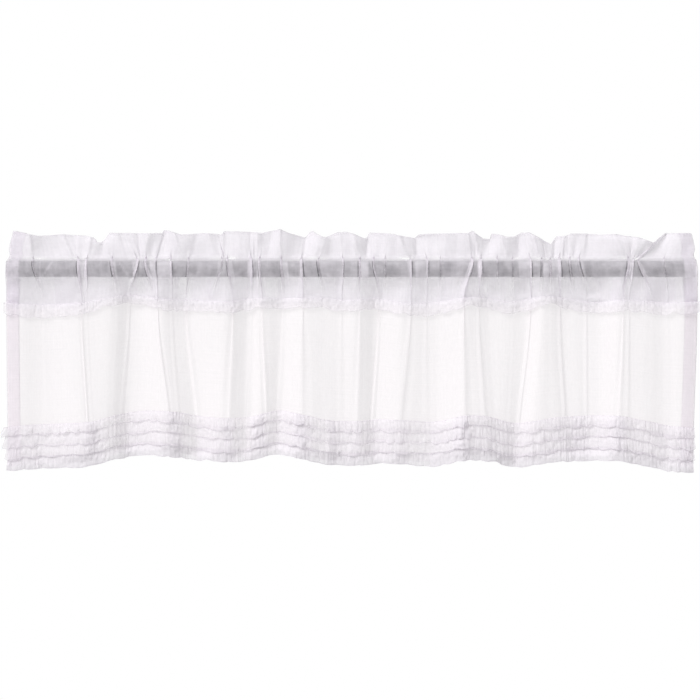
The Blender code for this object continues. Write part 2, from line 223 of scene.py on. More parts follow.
PANEL_FACETS = [Facet(*row) for row in (
    (20, 20, 0.1), (60, 64, 0.3), (82, 87, -1.5), (86, 91, 0.4), (120, 115, -1), (128, 124, 1.5),
    (158, 164, -1.4), (171, 178, -0.3), (178, 192, -1.2), (185, 199, 0.5), (227, 223, -1.3),
    (233, 230, -0.5), (249, 250, 1.3), (259, 260, -1.1), (265, 268, 0.9), (286, 276, 1.6),
    (300, 291, -0.6), (303, 301, -1.5), (308, 306, -0.6), (326, 322, 0.3), (353, 353, -0.3),
    (369, 366, -1.6), (375, 372, 1.5), (403, 395, -1.2), (411, 402, 0), (440, 440, 0.5),
    (455, 455, 1.1), (464, 463, -2.4), (471, 471, -0.3), (478, 486, -2.2), (487, 496, 0.2),
    (524, 508, -1.4), (533, 517, 1.8), (541, 527, -0.2), (553, 561, -2.4), (562, 571, 0.2),
    (573, 582, -0.9), (582, 590, 0.2), (607, 601, 1.4), (616, 612, -2.6), (633, 630, -0.8),
    (645, 645, -1.7), (681, 681, -2.8),
)]
HEADER_TURN = 15.5          # degrees, as are the next two
POCKET_TURN = 10.0
PANEL_TURN = 9.0
FACET_EDGE = 2              # millimetres over which one facet passes into the next
HEADER_FACET_EDGE = 1       # and the same in the header and the panel
PANEL_FACET_EDGE = 3
FACET_REACH = 32            # relief wider than this is left to the solid's own folds

# The header's upper edge, as columns and rows of the photo
HEADER_EDGE = (
    (13.3, 230.7), (21.7, 232.3), (30.8, 234.3), (38.3, 235.7), (50, 235.2), (61.7, 234),
    (73.3, 234.7), (86.7, 235.7), (93.3, 237), (95.8, 239.3), (97.5, 242.3), (100.8, 242.2),
    (104.2, 240.2), (106.7, 236), (109.2, 232.7), (130, 233), (146.7, 233.3), (162.5, 233),
    (164.2, 230.3), (168.3, 230.3), (175, 232.7), (181.7, 234.7), (203, 233), (221.7, 234.3),
    (224, 231), (240, 231.5), (263.3, 232.7), (270, 231), (280, 229), (286.7, 232.3),
    (296.7, 235.2), (305, 237.3), (310, 231.8), (311.7, 230.7), (318.3, 234.3), (325, 237.3),
    (330, 235.2), (336.7, 232.3), (346.7, 231.7), (355, 234), (363.3, 237.7), (366.7, 238),
    (369.2, 232.3), (380, 232.7), (393.3, 234), (403.3, 236.3), (415, 237.7), (418.3, 234.7),
    (430, 233.7), (468.3, 233), (471.7, 230.7), (476.7, 234.3), (483.3, 238.5), (490, 239),
    (491.7, 233.5), (498.3, 234.3), (506.7, 236.8), (515, 236.3), (520.8, 232.7), (528.3, 232.3),
    (535, 235.2), (543.3, 240.2), (550.8, 244.3), (553.3, 240.2), (556.7, 236), (566.7, 235.7),
    (570, 233.5), (586.7, 233.5), (601.7, 234.7), (615, 234), (626.7, 236), (640, 237.7),
    (646.7, 240.2), (653.3, 242.3), (656.7, 241), (661.7, 236), (666.7, 233), (690, 233),
    (692.5, 234.3),
)

# The side hems are turned twice
HEM_WIDTH = 22.0
HEM_GAP = 0.55
HEM_SUNK = 0.3              # each of its layers ends this far below the one before, in the header

# How a side hem turns, from its hidden raw edge to the cloth's own edge: the share of the hem's
# width that a column is in from the edge, and the layer that it is in
HEM_TURNS = ((0.08, 1), (0.35, 1), (0.65, 1), (0.92, 1), (1.0, 1.5), (0.92, 2), (0.65, 2),
             (0.35, 2), (0.08, 2), (0.0, 1.7), (-0.03, 1.0), (0.0, 0.3))

# Rows of points up the front, over the header and down behind the rod, and the millimetres
# between the layers there
PANEL_ROWS = 27
POCKET_ROWS = 22
HEADER_ROWS = 16
HEADER_BACK_ROWS = 8
POCKET_BACK_ROWS = 10
HEADER_LAYERS = 1.1         # between the two layers of the header
HEM_LAYERS = 3.2            # and where the side hems lie between them

CRUSHED_PANEL = 0.12        # how crushed each zone of the cloth is
CRUSHED_ROD = 0.75
CRUSHED_POCKET = 0.27
CRUSHED_HEADER = 0.25
CRUSHED_HEM = 0.25
# THICK makes the band where the dark rod shows through lighter, a little below the stitches and
# along the rod's lower edge
THICK = 0.18                # how much more the threads cover over the rod
RIM_HIGHLIGHT = 0.9              # painted highlight on the header's foot: the white behind shows
RIM_HEIGHT = 1.6            # how far above the stitches
RIM_WIDTH = 1.3             # how far up and down from there
RIM_UNEVEN = 0.8            # and how far it strays
FIRST_ROW_UP = 70           # the hem's first row is sewn on this far above the panel's foot

# How thin the side hems' layers lie on the panel, over the rod's lower and upper edge and above
HEM_THIN = (-0.05, 0.34, 0.34, 0.70)


def along_rod(column):
    """The place along the rod that a column of the photo shows."""
    return MIDDLE[0] + (column / PHOTO_COLUMNS - 0.5) * FRAME_WIDTH


def above_rod(row):
    """The height above the rod's axis that a row of the photo shows."""
    return MIDDLE[1] + (0.5 - row / PHOTO_COLUMNS) * FRAME_WIDTH


def mix(low, high, share):
    return low + (high - low) * share


def eased(share):
    return (1 - np.cos(math.pi * np.clip(share, 0, 1))) / 2


def blurred(values, reach, axis):
    """Values smoothed along one axis by a bell curve of that many steps, with the ends held."""
    if reach <= 0:
        return values
    steps = np.arange(-3 * reach, 3 * reach + 1)
    bell = np.exp(-0.5 * (steps / reach) ** 2)
    bell /= bell.sum()
    padding = [(0, 0)] * values.ndim
    padding[axis] = (3 * reach, 3 * reach)
    padded = np.pad(values, padding, mode="edge")
    return np.apply_along_axis(lambda line: np.convolve(line, bell, mode="valid"), axis, padded)


def looked_up(table, row, column):
    """The values of a table at rows and columns that may lie between two of its own."""
    row = np.clip(row, 0, table.shape[0] - 1.001)
    column = np.clip(column, 0, table.shape[1] - 1.001)
    low, left = row.astype(int), column.astype(int)
    below = mix(table[low, left], table[low, left + 1], column - left)
    above = mix(table[low + 1, left], table[low + 1, left + 1], column - left)
    return mix(below, above, row - low)


def corners(node):
    """The corners of a solid's mesh in millimetres."""
    return np.array([v.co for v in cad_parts[node].data.vertices]) / MM


class DepthMap:
    """How far forward or back a solid's face is, on a grid over its front view, in millimetres."""

    STEP = 3.0

    def __init__(self, node, side):
        low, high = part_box(node)
        self.x = np.arange(low.x / MM, high.x / MM + self.STEP, self.STEP)
        self.z = np.arange(low.z / MM, high.z / MM + self.STEP, self.STEP)
        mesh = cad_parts[node].data
        tree = BVHTree.FromPolygons([v.co for v in mesh.vertices],
                                    [tuple(p.vertices) for p in mesh.polygons])
        depth = np.full((len(self.z), len(self.x)), np.nan)
        for row, z in enumerate(self.z):
            for column, x in enumerate(self.x):
                hit = tree.ray_cast(Vector((x * MM, side, z * MM)), Vector((0, -side, 0)))[0]
                if hit:
                    depth[row, column] = hit.y / MM
        last = None
        for row in range(len(self.z)):
            known = ~np.isnan(depth[row])
            if known.sum() > 4:
                last = depth[row] = np.interp(self.x, self.x[known], depth[row, known])
            elif last is not None:
                depth[row] = last
        first = np.argmax(~np.isnan(depth[:, 0]))
        depth[:first] = depth[first]
        self.depth = blurred(blurred(depth, 4, 1), 1, 0)

    def at(self, x, z):
        """The depth at places and heights, both arrays."""
        return looked_up(self.depth, (z - self.z[0]) / self.STEP, (x - self.x[0]) / self.STEP)


def edge_lines(node):
    """A hanging strip's upper and lower edges: for each a smooth (place, depth, height) line and
    the places where it ends."""
    points = corners(node)
    places = np.arange(points[:, 0].min(), points[:, 0].max() + 6, 6.0)
    lines = []
    for pick in (1, -1):
        line = []
        for place in places:
            near = points[np.abs(points[:, 0] - place) < 16]
            middle = (near[:, 2].max() + near[:, 2].min()) / 2
            edge = near[(near[:, 2] - middle) * pick > 0]
            line.append((place, edge[:, 1].mean(), edge[:, 2].mean()))
        line = np.array(line)
        line[:, 1:] = blurred(line[:, 1:], 1, 0)
        ends = points[(points[:, 2] * pick) > (line[:, 2].mean() * pick - 30)]
        lines.append((line, ends[:, 0].min(), ends[:, 0].max()))
    return lines


def wavy(count, seed):
    """A slow uneven wave of that many random knots, as a function of a share from 0 to 1."""
    chance = random.Random(seed)
    knots = np.array([chance.uniform(-1, 1) for _ in range(count + 4)])
    places = np.linspace(-0.1, 1.1, count + 4)
    fine = np.linspace(-0.1, 1.1, (count + 4) * 12)
    values = blurred(np.interp(fine, places, knots), 12, 0)
    return lambda share: np.interp(share, fine, values)


def crumpled(rows, columns, seed, reach_up, reach_along):
    """A smooth random field over a grid, about as often above as below zero."""
    chance = np.random.default_rng(seed)
    field = blurred(blurred(chance.standard_normal((rows, columns)), reach_up, 0), reach_along, 1)
    return field / field.std()


def outward(grid, sense):
    """Unit normals of a grid of points, mostly towards +Y (sense 1) or -Y (sense -1)."""
    normals = np.cross(np.gradient(grid, axis=1), np.gradient(grid, axis=0))
    normals /= np.maximum(np.linalg.norm(normals, axis=2, keepdims=True), 1e-9)
    return normals * np.sign(np.median(normals[..., 1])) * sense


def flat_cut(points):
    """The cloth's flat size under each point of a grid, in metres."""
    across = np.linalg.norm(np.diff(points, axis=1), axis=2).mean(0)
    up = np.linalg.norm(np.diff(points, axis=0), axis=2).mean(1)
    u = np.concatenate(([0], np.cumsum(across)))
    v = np.concatenate(([0], np.cumsum(up)))
    return np.stack(np.broadcast_arrays(u[None, :], v[:, None]), -1) * MM


def placed(name, data):
    """A new object in the scene."""
    thing = bpy.data.objects.new(name, data)
    bpy.context.scene.collection.objects.link(thing)
    return thing


# thin also carries painted shadow lines, a painted highlight and the bands' painted light and shade
KEPT = ("drawn", "turned", "thin", "crushed")   # what each point of a sheet keeps


def add_sheet(name, points, material, drawn, thin, crushed):
    """A sheet from a grid of points in millimetres, with its flat cut in metres as UV. Each point
    also keeps how tightly it is gathered, how far it turns away from the front, how thin the cloth
    lies and how crushed it is."""
    count = points.shape[0] * points.shape[1]
    index = np.arange(count).reshape(points.shape[:2])
    quads = np.stack((index[:-1, :-1], index[:-1, 1:], index[1:, 1:], index[1:, :-1]), -1)
    quads = quads.reshape(-1, 4)
    mesh = bpy.data.meshes.new(name)
    mesh.from_pydata(points.reshape(-1, 3) * MM, [], quads, shade_flat=False)
    flat = flat_cut(points).reshape(-1, 2)[quads.ravel()]
    mesh.uv_layers.new(name="flat").uv.foreach_set("vector", flat.astype(np.float32).ravel())
    turned = 1 - np.abs(outward(points, 1)[..., 1])
    for title, values in zip(KEPT, (drawn, turned, thin, crushed)):
        kept = mesh.attributes.new(title, "FLOAT", "POINT")
        kept.data.foreach_set("value", np.broadcast_to(values, index.shape).ravel())
    mesh.validate()
    mesh.materials.append(material)
    thing = placed(name, mesh)
    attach(thing, "root")
    return thing


# ------------------ materials


class Shading:
    """The nodes of a material or world. What a socket gets is a number, a colour or the output of
    another node, and each way to add a node gives its output."""

    def __init__(self, owner):
        owner.use_nodes = True
        self.tree = owner.node_tree
        self.tree.nodes.clear()

    def add(self, kind, sockets, output=0, **settings):
        made = self.tree.nodes.new("ShaderNode" + kind)
        for name, value in settings.items():
            setattr(made, name, value)
        for name, value in sockets.items():
            if isinstance(value, bpy.types.NodeSocket):
                self.tree.links.new(value, made.inputs[name])
            else:
                made.inputs[name].default_value = value
        return made.outputs[output]

    def show(self, surface, kind="OutputMaterial"):
        shown = self.tree.nodes.new("ShaderNode" + kind)
        self.tree.links.new(surface, shown.inputs["Surface"])

    def math(self, operation, *values, clamp=False):
        return self.add("Math", dict(enumerate(values)), operation=operation, use_clamp=clamp)

    def scaled(self, source, x, y, lean=0.0):
        """Coordinates turned by some degrees and scaled by two numbers."""
        return self.add("Mapping", {"Vector": source, "Rotation": (0, 0, math.radians(lean)),
                                    "Scale": (x, y, 1)})

    def noise(self, vector, detail, roughness=0.5, scale=1.0):
        return self.add("TexNoise", {"Vector": vector, "Scale": scale, "Detail": detail,
                                     "Roughness": roughness}, "Fac")

    def threads(self, vector, direction):
        """Parallel threads, from 0 between them to 1 on them."""
        return self.add("TexWave", {"Vector": vector, "Scale": math.pi / 10 / THREAD_PITCH,
                                    "Distortion": 0.0}, "Fac", bands_direction=direction)

    def blend(self, share, low, high):
        """A colour that share of the way from one to another."""
        return self.add("Mix", {0: share, 6: low, 7: high}, 2, data_type="RGBA")

    def bump(self, height, strength, distance, *below):
        """Normals of a relief of that depth in metres, on top of the normals below."""
        sockets = {"Height": height, "Strength": strength, "Distance": distance}
        sockets.update(zip(("Normal",), below))
        return self.add("Bump", sockets)


THREAD_PITCH = 0.0006       # metres
COTTON = (0.922, 0.890, 0.928)
SMOOTH_COTTON = (0.925, 0.872, 0.893)   # where the cloth hangs smooth
# the same cotton painted darker for the ruffles, as painted shade of their crowded rows
SHADED_FRILL_COTTON = (0.862, 0.834, 0.862)
COTTON_SHADE = (0.975, 0.97, 0.985)     # how much darker its cloudy parts are
GLOW = 0.47                 # share of the threads' light that comes through from behind
WOVEN = 0.68                # the weave's mean between and on its threads

# What adds to the share of the cloth that its threads cover, and the most that they cover
WEAVE_COVER, SLUB_COVER, CLOUD_COVER, CRUMPLE_COVER = 0.16, 0.10, 0.08, 0.55
DRAWN_COVER, TURNED_COVER, THIN_COVER, MOST_COVER = 0.12, 0.18, -0.45, 0.97


def voile(name, cover, colour=COTTON, crinkle=0.3, crinkle_size=(0.006, 0.11),
          pleat_size=(0.0032, 0.045)):
    """Sheer cotton voile: threads that cover a share of the cloth, with light through the rest."""
    made = bpy.data.materials.new(name)
    look = Shading(made)
    flat = look.add("UVMap", {}, uv_map="flat")
    drawn, turned, thin, crushed = [look.add("Attribute", {}, "Fac", attribute_name=title)
                                    for title in KEPT]
    weave = look.math("MAXIMUM", look.threads(flat, "X"), look.threads(flat, "Y"))
    slub = look.math("ADD", look.noise(look.scaled(flat, 700, 12), 3),
                     look.noise(look.scaled(flat, 12, 700), 3))
    cloud = look.noise(look.scaled(flat, 18, 9), 2)
    crumple = look.math("ADD", look.noise(look.scaled(flat, 55, 60), 3, 0.55),
                        look.noise(look.scaled(flat, 90, 30, 28), 2))
    crumple = look.math("MULTIPLY", look.math("SUBTRACT", crumple, 1.0), crushed)

    # share of the cloth that the threads cover: more where it is gathered or turned edge-on
    woven = look.math("MULTIPLY_ADD", weave, WEAVE_COVER, cover - WEAVE_COVER * WOVEN)
    slubbed = look.math("MULTIPLY_ADD", slub, SLUB_COVER, -SLUB_COVER)
    clouded = look.math("MULTIPLY_ADD", cloud, CLOUD_COVER, -CLOUD_COVER / 2)
    gathered = look.math("MULTIPLY_ADD", drawn, DRAWN_COVER, slubbed)
    edge_on = look.math("MULTIPLY", look.math("POWER", turned, 1.4), TURNED_COVER)
    covered = look.math("ADD", woven, look.math("ADD", gathered, clouded))
    covered = look.math("ADD", covered, edge_on)
    covered = look.math("MULTIPLY_ADD", crumple, CRUMPLE_COVER, covered)
    # thin lowers the cover; through it come the painted shadow lines, highlight, light and shade
    covered = look.math("MULTIPLY_ADD", thin, THIN_COVER, covered)
    covered = look.math("MINIMUM", covered, MOST_COVER, clamp=True)

    # crinkles that run down the cloth, tight pleats where it is gathered, and the threads' relief
    crinkled = look.noise(look.scaled(flat, 1 / crinkle_size[0], 1 / crinkle_size[1]), 3, 0.6)
    pleated = look.noise(look.scaled(flat, 1 / pleat_size[0], 1 / pleat_size[1]), 1, 0.4)
    normal = look.bump(crinkled, crinkle, 0.0016)
    normal = look.bump(pleated, drawn, 0.0013, normal)
    normal = look.bump(crumple, 0.6, 0.0035, normal)
    normal = look.bump(weave, 0.25, 0.0001, normal)

    shade = [part * share for part, share in zip(colour, COTTON_SHADE)]
    tone = look.blend(cloud, (*shade, 1), (*colour, 1))
    tone = look.blend(look.math("MULTIPLY_ADD", crushed, 8.0, -1.0, clamp=True),
                      (*SMOOTH_COTTON, 1), tone)
    shader = look.add("BsdfPrincipled", {"Base Color": tone, "Roughness": 0.92, "Normal": normal,
                                         "Specular IOR Level": 0.12, "Sheen Weight": 0.08})
    through = look.add("BsdfTranslucent", {"Color": tone, "Normal": normal})
    fibre = look.add("MixShader", {0: GLOW, 1: shader, 2: through})
    gaps = look.add("BsdfTransparent", {})
    look.show(look.add("MixShader", {0: covered, 1: gaps, 2: fibre}))
    return made


def rod_metal():
    """Dark satin paint with faint drawn lines and cloudy wear."""
    made = bpy.data.materials.new("rod_paint")
    look = Shading(made)
    place = look.add("TexCoord", {}, "Object")
    drawn = look.noise(look.scaled(place, 6, 400), 3)
    worn = look.noise(place, 4, 0.6, 30.0)
    tone = look.blend(worn, (0.030, 0.028, 0.036, 1), (0.048, 0.045, 0.056, 1))
    rough = look.math("MULTIPLY_ADD", worn, 0.16, 0.36)
    look.show(look.add("BsdfPrincipled", {"Base Color": tone, "Roughness": rough, "Metallic": 0.3,
                                          "Coat Weight": 1.0, "Coat Roughness": 0.3,
                                          "Coat IOR": 1.7,
                                          "Normal": look.bump(drawn, 0.12, 0.0002)}))
    return made


# ------------------ main cloth

FRONT = DepthMap("valance_cloth", -1)
BACK = DepthMap("valance_cloth", 1)


def foot_line():
    """The panel's lower edge as (places, heights)."""
    points = corners("valance_cloth")
    low = points[points[:, 2] < -300]
    order = np.argsort(low[:, 0])
    return low[order, 0], blurred(low[order, 2], 2, 0)


def seam_line():
    """The pocket's lower seam as (places, heights): it rises and falls with its ruffle's edge."""
    low = edge_lines("pocket_ruffle")[1][0]
    return low[:, 0], SEAM + SEAM_DRIFT * (low[:, 2] - np.median(low[:, 2]))


FOOT_LINE = foot_line()
SEAM_LINE = seam_line()


def relief(facets, up, turn, x, edge=FACET_EDGE):
    """How far back the facets put the cloth at places x, that share of the way up their zone."""
    fine = np.arange(-640, 641, 1.0)
    starts = np.array([along_rod(mix(facet.lower, facet.upper, up)) for facet in facets])
    number = np.searchsorted(starts, fine) - 1
    faces = np.where(number < 0, 0, np.array([facet.turn for facet in facets])[number])
    steep = -np.tan(np.radians(blurred(faces, edge, 0) * turn))
    depth = np.cumsum(steep)
    depth = blurred(depth - blurred(depth, FACET_REACH, 0), edge - 1, 0)
    return np.interp(x, fine, depth)


def double(x, level):
    """How much denser the strips make the cloth at places x and heights."""
    up = np.clip((level + ROD_RADIUS) / 2 / ROD_RADIUS, -1, 1.3)
    found = np.zeros_like(x)
    for strip in STRIPS:
        left = along_rod(mix(strip.lower_left, strip.upper_left, up))
        right = along_rod(mix(strip.lower_right, strip.upper_right, up))
        inside = np.clip((x - left) / STRIP_EDGE + 0.5, 0, 1) \
            * np.clip((right - x) / STRIP_EDGE + 0.5, 0, 1)
        found = np.maximum(found, strip.dense * inside)
    return found


def banded(bands, x):
    """How much denser the bands make the cloth at places x: partly doubled cloth and partly
    painted shade, and where below 0 thinner, as painted light.
    """
    found = np.zeros_like(x)
    for band in bands:
        found += band.dense * np.clip((x - along_rod(band.left)) / BAND_EDGE + 0.5, 0, 1) \
            * np.clip((along_rod(band.right) - x) / BAND_EDGE + 0.5, 0, 1)
    return found


def columns_of_cloth():
    """The gathers with the cloth's two edges, and the cloth's columns from left to right: for each
    the number of its gather, its share of the way to the next one, its place in the gather's tuck
    and whether it is in that tuck."""
    anchors = [LEFT_EDGE] + GATHERS + [RIGHT_EDGE]
    last = len(anchors) - 2
    columns = []
    for number, (left, right) in enumerate(zip(anchors, anchors[1:])):
        if number:
            columns += [(number, 0.0, (step + 0.5) / TUCK_STEPS - 0.5, True)
                        for step in range(TUCK_STEPS)]
        width = FRAME_WIDTH / PHOTO_COLUMNS * max(right.head - left.head, right.seam - left.seam)
        steps = max(int(width / PANE_STEP), 2)
        shares = [step / steps for step in range(1, steps)]
        if number:
            shares += [near / width for near in BESIDE]
        if number < last:
            shares += [1 - near / width for near in BESIDE]
        shares = sorted(share for share in shares if 0 < share < 1)
        shares = [0.0] * (number == 0) + shares + [1.0] * (number == last)
        columns += [(number, share, 0.0, False) for share in shares]
    return anchors, columns


def room(places):
    """How far each of a row of places is from the nearer of its neighbours."""
    gaps = np.diff(places)
    return np.minimum(np.append(gaps, gaps[-1]), np.insert(gaps, 0, gaps[0]))


def lapped(lap):
    """(span, swing) of a tuck with that much cloth doubled over."""
    span = np.maximum(lap / 0.81, 0.6)
    return span, 4 * span


def opened(lap, places, most, fullness):
    """(span, swing) of a tuck that has opened into a ridge and a valley beside it."""
    span = np.minimum(most, 0.8 * room(places))
    return np.where(lap > 0, span, 0.6), fullness * span


def between(low, high, share):
    return tuple(mix(a, b, share) for a, b in zip(low, high))


class Gathered:
    """The main cloth's columns, with the place and shape of their gathers at each height."""

    def __init__(self):
        anchors, columns = columns_of_cloth()
        count = len(columns)
        places = {name: np.array([getattr(a, name) for a in anchors], float)
                  for name in Gather._fields}
        self.head, self.sewn, self.seam, self.hem = [along_rod(places[name])
                                                     for name in Gather._fields[:4]]
        self.number, self.share, self.turn, self.tucked = [np.array(part)
                                                           for part in zip(*columns)]
        self.following = np.minimum(self.number + 1, len(anchors) - 1)
        self.side = places["side"][self.number]
        self.thin = self.laps_and_shadow_slits(places["side"], places["slit"])

        chance = random.Random(8)
        fullness = np.array([chance.uniform(0.85, 1.25) for _ in anchors])
        head, rod, panel = places["lap_head"], places["lap_rod"], places["lap_panel"]
        self.weight = np.minimum(rod / 6, 1.2)
        self.kept = np.clip((panel - 1.5) / 3.5, 0, 1)
        self.head_shape = opened(head, self.head, 7 + 0.8 * head, 0.3 * fullness)
        self.sewn_shape = lapped(np.minimum(rod, WIDEST_SEWN))
        self.rod_shape = lapped(rod)
        self.seam_shape = opened(panel, self.seam, 9 + 0.6 * panel, 0.3 + 1.1 * self.kept)
        self.hem_shape = opened(panel, self.hem, 16 + 2.2 * panel,
                                0.2 + 0.32 * self.kept * fullness)

        along = np.linspace(0, 1, count)
        self.drift = [size * wavy(46, seed)(along) for seed, size in enumerate(DRIFTS, 10)]
        self.ripple = [size * wavy(150, seed)(along) for seed, size in enumerate(RIPPLES, 20)]
        self.creased = CREASED * crumpled(POCKET_ROWS + HEADER_ROWS, count, 41, 2, 5)
        self.teeth = EDGE_TEETH * crumpled(1, count, 43, 0, 2)[0]
        self.hollow = np.where(self.tucked, 0, np.sin(math.pi * self.share) ** 2)

    def laps_and_shadow_slits(self, side, slit):
        """How thin each column lies: (in a tuck's layers, right beside its visible edge, where a
        painted shadow line lets the dark rod show through)."""
        hidden = self.turn * self.side > -0.2
        laps = np.where(self.tucked, np.where(hidden, LAP_THIN, TUCK_THIN), 0)
        # a painted shadow line just beside each tuck's visible edge: the cloth is thinned there over
        # the dark rod
        after = ~self.tucked & np.roll(self.tucked, 1) & (self.side > 0)
        before = ~self.tucked & np.roll(self.tucked, -1) & (side[self.following] < 0)
        shadow_slits = SLIT_SHADOW * np.where(before, slit[self.following],
                                     np.where(after, slit[self.number], 0))
        return laps, shadow_slits

    def across(self, places, shape):
        """Where along the rod each column is, with the gathers at places and their tucks of a
        shape (span, swing)."""
        span, swing = shape
        fits = np.minimum(1, 0.85 * room(places) / span)
        span, swing = span * fits, swing * fits
        half = span / 2
        pane = mix((places + half)[self.number], (places - half)[self.following], self.share)
        bent = places[self.number] + span[self.number] * self.turn \
            - swing[self.number] / (2 * math.pi) * np.sin(2 * math.pi * self.turn)
        return np.where(self.tucked, bent, pane)

    def fold(self, tuck, lasting=0.0):
        """How far forward the tucks put each column, where they stand out by tuck. lasting goes
        from 0, all tucks as at the rod, to 1, only those that last down the panel."""
        bend = np.cos(math.pi * self.turn) ** 2 * 1.2 \
            - self.side * np.sin(2 * math.pi * self.turn)
        weight = mix(self.weight, self.kept, lasting)[self.number]
        return np.where(self.tucked, bend, 0) * weight * tuck


def panel_rows(cut):
    """The panel's rows, from its foot up to the seam."""
    rows = []
    for step in np.linspace(1, 0, PANEL_ROWS):
        down = eased(step / 0.45)
        x = cut.across(mix(cut.seam, cut.hem, eased(step)),
                       between(cut.seam_shape, cut.hem_shape, down))
        z = mix(np.interp(x, *SEAM_LINE), np.interp(x, *FOOT_LINE), step)
        tuck = mix(TUCK_SEAM, TUCK_PANEL, down) * mix(1, 0.5, eased(step * 2 - 1))
        soft = cut.drift[0] * math.sin(math.pi * step) \
            + cut.drift[1] * math.sin(2 * math.pi * step) \
            + cut.ripple[0] * (1 - step) + cut.ripple[1] * step \
            + relief(PANEL_FACETS, 1 - step, PANEL_TURN * mix(0.8, 1, eased(step * 3)), x,
                     PANEL_FACET_EDGE)
        rows.append(np.stack((x, FRONT.at(x, z) + SKIN - cut.fold(tuck, 1.0) + soft, z), -1))
    return rows


def pocket_rows(cut):
    """The rows of the pocket's front wall, from the seam up to the stitches."""
    rows = []
    for number, step in enumerate(np.linspace(0, 1, POCKET_ROWS + 1)[1:]):
        over = eased(step / 0.7)
        shape = between(cut.seam_shape, cut.rod_shape, over)
        x = cut.across(mix(cut.seam, cut.sewn, eased(step)),
                       between(shape, cut.sewn_shape, eased(step * 4 - 3)))
        z = mix(np.interp(x, *SEAM_LINE), SEWN, step ** 0.85)
        tuck = mix(mix(TUCK_SEAM, TUCK_ROD, over), TUCK_SEWN, eased(step * 3 - 2))
        low, high = eased(1 - step * 3), eased(step * 3)
        soft = cut.drift[2] * math.sin(math.pi * step) \
            + cut.ripple[2] * (step ** 2 + 0.4) + cut.creased[number] \
            + relief(PANEL_FACETS, 1, PANEL_TURN * 0.8 * low, x) \
            + relief(POCKET_FACETS, step, POCKET_TURN * high * mix(1, 0.5, step), x)
        depth = FRONT.at(x, z) + SKIN - cut.fold(tuck, 1 - eased(step * 2)) + soft
        rows.append(np.stack((x, np.minimum(depth, -beside_rod(z)), z), -1))
    return rows


def header_rows(cut):
    """The rows of the header's front layer, from the stitches up to its edge."""
    edge_x, edge_z = [np.array(side) for side in zip(*HEADER_EDGE)]
    crown = np.interp(cut.across(cut.head, cut.head_shape), along_rod(edge_x),
                      above_rod(edge_z)) + cut.teeth
    rows = []
    for number, step in enumerate(np.linspace(0, 1, HEADER_ROWS + 1)[1:]):
        x = cut.across(mix(cut.sewn, cut.head, step ** 0.9),
                       between(cut.sewn_shape, cut.head_shape, eased(min(step * 3.2, 1) ** 0.7)))
        z = mix(SEWN, crown, step)
        tuck = mix(TUCK_SEWN, TUCK_HEAD, eased(step * 2.5))
        soft = cut.drift[3] * step + cut.ripple[3] * (1 - step) \
            + cut.creased[POCKET_ROWS + number] \
            + relief(HEADER_FACETS, step, HEADER_TURN * step ** 0.4, x, HEADER_FACET_EDGE) \
            + PANE_HOLLOW * cut.hollow * math.sin(math.pi * step ** 0.7)
        depth = FRONT.at(x, np.minimum(z, HEADER_TOP)) + HEADER_SKIN - cut.fold(tuck) + soft
        rows.append(np.stack((x, depth, z), -1))
    return rows


def back_rows(cut, front):
    """The rows of the header's back layer, just behind the front one and down to the stitches,
    and of the pocket's back wall from there down to the seam."""
    header = front[-HEADER_ROWS:]
    apart = mix(HEADER_LAYERS, HEM_LAYERS, eased((np.abs(header[..., 0]) - NEAR_END) / 14))
    behind = header + outward(header, 1) * apart[..., None]
    rows = [behind[number] for number in
            np.linspace(HEADER_ROWS - 1, 0, HEADER_BACK_ROWS).round().astype(int)]
    stitched = front[PANEL_ROWS + POCKET_ROWS - 1, :, 1] + HEADER_LAYERS
    for step in np.linspace(0, 1, POCKET_BACK_ROWS + 1) ** 1.8:
        x = cut.across(mix(cut.sewn, cut.seam, eased(step)),
                       between(cut.sewn_shape, cut.seam_shape, eased(step)))
        z = mix(SEWN, np.interp(x, *SEAM_LINE) + 1, step)
        depth = BACK.at(x, z) - SKIN + cut.fold(TUCK_ROD) * math.sin(math.pi * step)
        wall = mix(stitched, depth, eased(step / 0.15))
        rows.append(np.stack((x, np.maximum(wall, beside_rod(z)), z), -1))
    rows[-1] = front[PANEL_ROWS - 1] + np.array((0, HEADER_LAYERS, 1.0))
    return rows


def beside_rod(z):
    """How far the cloth keeps from the plane through the rod's axis, to clear it at heights z."""
    return np.sqrt(np.maximum((ROD_RADIUS + ROD_GAP) ** 2 - z ** 2, 0))


def spread_ends(grid):
    """Move the pocket's and the header's ends out over the ends of the rod."""
    level = grid[..., 2]
    reach = np.cos(np.clip(level / 40, -1, 1) * math.pi / 2) ** 2
    for bulge, height in ((HEADER_BULGE, 46), (-HEADER_NECK, 18)):
        reach = reach + bulge * np.sin(np.clip((level - SEWN) / height, 0, 1) * math.pi)
    near_end = np.clip((np.abs(grid[..., 0]) - NEAR_END) / 40, 0, 1) ** 2
    grid[..., 0] += np.sign(grid[..., 0]) * END_BULGE * reach * near_end


def turned_hems(grid):
    """Add the twice-turned side hems to both ends of a grid."""
    number = np.arange(len(grid)) - PANEL_ROWS - POCKET_ROWS
    behind = np.where(number < HEADER_ROWS, 1.0, -1.0)
    sunk = np.where((number >= 0) & (number < HEADER_ROWS + HEADER_BACK_ROWS), HEM_SUNK, 0)
    turned = []
    for end, inward in ((0, 1), (-1, -1)):
        extra = []
        for width, layer in HEM_TURNS:
            place = grid[:, end, 0] + inward * HEM_WIDTH * width
            inner, height = [np.array([np.interp(at, line[:, 0], line[:, axis])
                                       for at, line in zip(place, grid)]) for axis in (1, 2)]
            extra.append(np.stack((place, inner + behind * HEM_GAP * layer,
                                   height - sunk * layer), -1))
        turned.append(np.stack(extra, 1))
    return np.concatenate((turned[0], grid, turned[1][:, ::-1]), 1)


